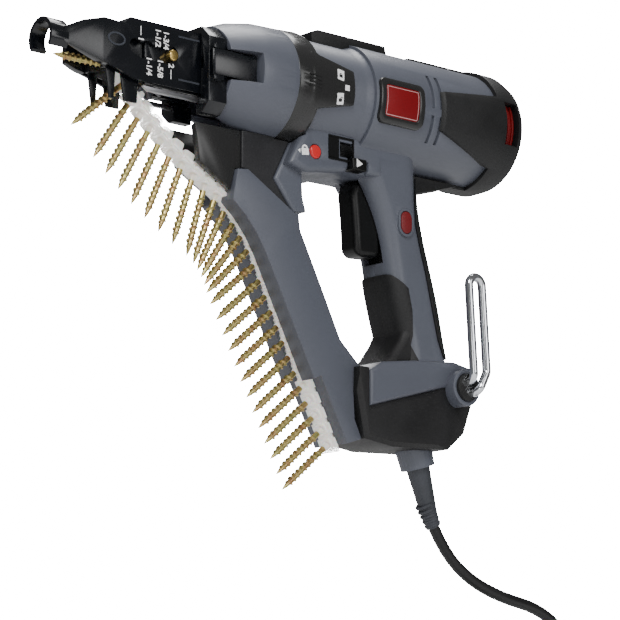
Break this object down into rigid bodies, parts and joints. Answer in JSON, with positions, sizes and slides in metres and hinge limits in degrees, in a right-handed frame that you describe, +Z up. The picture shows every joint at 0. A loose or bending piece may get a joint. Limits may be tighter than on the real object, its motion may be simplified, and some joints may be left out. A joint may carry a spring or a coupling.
{
  "type": "auto-feed drywall screwdriver",
  "caption": "Corded pistol-grip drywall screwdriver with a sliding nose, a magazine arm carrying a curved strip of long screws, and a swinging wire belt hook.",
  "frame": {"origin": "the middle of the hand grip, on the tool's mid-plane", "axes": "+X runs back along the drive axis from the nose to the motor, +Y to the tool's right side, +Z up"},
  "size_m": [0.4702, 0.1055, 0.4527],
  "materials": {
    "body_grey": "satin moulded nylon",
    "black_rubber": "matte over-moulded rubber",
    "black_plastic": "semi-gloss moulding",
    "nose_black": "glossy black finish",
    "steel": "machined steel",
    "chrome": "bright plated wire",
    "zinc_yellow": "yellow zinc plated steel",
    "strip_white": "milky translucent plastic",
    "red_plastic": "saturated red moulding",
    "copper": "bare copper",
    "iron_core": "stacked steel sheets",
    "cord_black": "matte rubber jacket"
  },
  "bodies": {
    "tool_body": {"front_dome": "body_grey", "gear_case": "body_grey", "top_rail": "black_plastic", "rear_cap": "black_rubber", "vent_baffle": "red_plastic", "badge_frame": "black_plastic", "badge_plate": "red_plastic", "guide_clamp": "black_plastic", "guide_rail": "steel", "return_spring": "steel", "bearing_plate": "steel", "spindle_bearing": "steel", "motor_bearings": "steel", "stator": "iron_core", "brush_holders": "copper", "housing_left": "body_grey", "housing_right": "body_grey", "case_screws": "steel", "grip_left": "black_rubber", "grip_right": "black_rubber", "rear_grip_strip": "black_rubber", "switch_body": "black_plastic", "arm_left": "body_grey", "arm_right": "body_grey", "arm_panel": "black_rubber", "strip_guide": "black_plastic", "screw_strip": "strip_white", "span_screws": "zinc_yellow", "arm_row_screws": "zinc_yellow", "base_boot": "black_rubber", "hook_boss": "body_grey", "cord_collar": "body_grey", "strain_relief": "cord_black", "cord_lead": "cord_black", "cord_coil": "cord_black", "cord_tie": "black_plastic", "plug_body": "cord_black", "plug_blades": "steel"},
    "nose": {"nose_slide": "nose_black", "nose_screw": "zinc_yellow"},
    "length_stop": {"length_plate": "nose_black"},
    "length_lock": {"length_button": "zinc_yellow"},
    "feed_wheel": {"feed_sprocket": "black_plastic"},
    "collar": {"lock_collar": "black_plastic"},
    "latch": {"latch_lever": "black_plastic"},
    "armature": {"motor_shaft": "steel", "armature_core": "iron_core", "commutator": "copper", "cooling_fan": "black_plastic"},
    "layshaft": {"layshaft": "steel"},
    "spindle": {"spindle": "steel", "spindle_gear": "steel", "driver_bit": "steel"},
    "trigger": {"trigger": "black_plastic"},
    "lock_on": {"lock_button": "red_plastic"},
    "release": {"release_button": "red_plastic"},
    "depth_wheel": {"depth_wheel": "black_plastic"},
    "selector": {"reverse_selector": "black_plastic"},
    "hook": {"belt_hook": "chrome", "hook_socket": "black_plastic"}
  },
  "joints": [
    {"name": "nose_press", "type": "slide", "parent": "tool_body", "child": "nose", "axis": [1, 0, 0], "range_m": [0, 0.05], "stiffness_N_per_m": 350, "springref_m": -0.03, "deforming": ["return_spring", "screw_strip", "span_screws"]},
    {"name": "length_slide", "type": "slide", "parent": "nose", "child": "length_stop", "axis": [1, 0, 0], "range_m": [0, 0.0254]},
    {"name": "length_button_press", "type": "slide", "parent": "nose", "child": "length_lock", "axis": [0, 1, 0], "range_m": [0, 0.0018], "stiffness_N_per_m": 800, "springref_m": -0.001},
    {"name": "feed_turn", "type": "hinge", "parent": "nose", "child": "feed_wheel", "pos_m": [-0.195, 0, 0.1], "axis": [0, 1, 0], "range_deg": [0, 46]},
    {"name": "collar_turn", "type": "hinge", "parent": "tool_body", "child": "collar", "pos_m": [-0.09, 0, 0.113], "axis": [1, 0, 0], "range_deg": [-11, 11]},
    {"name": "latch_swing", "type": "hinge", "parent": "tool_body", "child": "latch", "pos_m": [-0.1605, -0.02405, 0.113], "axis": [0, 0, -1], "range_deg": [0, 18], "stiffness_Nm_per_rad": 0.2, "springref_deg": -17.19},
    {"name": "armature_spin", "type": "hinge", "parent": "tool_body", "child": "armature", "pos_m": [0, 0, 0.113], "axis": [1, 0, 0], "continuous": true},
    {"name": "layshaft_spin", "type": "hinge", "parent": "tool_body", "child": "layshaft", "pos_m": [-0.065, 0, 0.09815], "axis": [1, 0, 0], "continuous": true},
    {"name": "spindle_spin", "type": "hinge", "parent": "tool_body", "child": "spindle", "pos_m": [-0.1, 0, 0.113], "axis": [1, 0, 0], "continuous": true},
    {"name": "trigger_pull", "type": "slide", "parent": "tool_body", "child": "trigger", "axis": [1, 0, 0], "range_m": [0, 0.007], "stiffness_N_per_m": 1200, "springref_m": -0.004},
    {"name": "lock_button_press", "type": "slide", "parent": "tool_body", "child": "lock_on", "axis": [0, 1, 0], "range_m": [0, 0.0025], "stiffness_N_per_m": 800, "springref_m": -0.001},
    {"name": "release_button_press", "type": "slide", "parent": "tool_body", "child": "release", "axis": [0, 1, 0], "range_m": [0, 0.0015], "stiffness_N_per_m": 800, "springref_m": -0.001},
    {"name": "depth_wheel_turn", "type": "hinge", "parent": "tool_body", "child": "depth_wheel", "pos_m": [-0.06, -0.018, 0.0788], "axis": [1, 0, 0], "continuous": true},
    {"name": "selector_slide", "type": "slide", "parent": "tool_body", "child": "selector", "axis": [1, 0, 0], "range_m": [0, 0.005]},
    {"name": "hook_turn", "type": "hinge", "parent": "tool_body", "child": "hook", "pos_m": [0.034, -0.02, -0.054], "axis": [0, 1, 0], "range_deg": [0, 180]}
  ],
  "couplings": [
    {"joint": "feed_turn", "follows": "nose_press", "rad_per_m": 15.708},
    {"joint": "layshaft_spin", "follows": "armature_spin", "ratio": -0.375},
    {"joint": "spindle_spin", "follows": "armature_spin", "ratio": 0.16304}
  ]
}
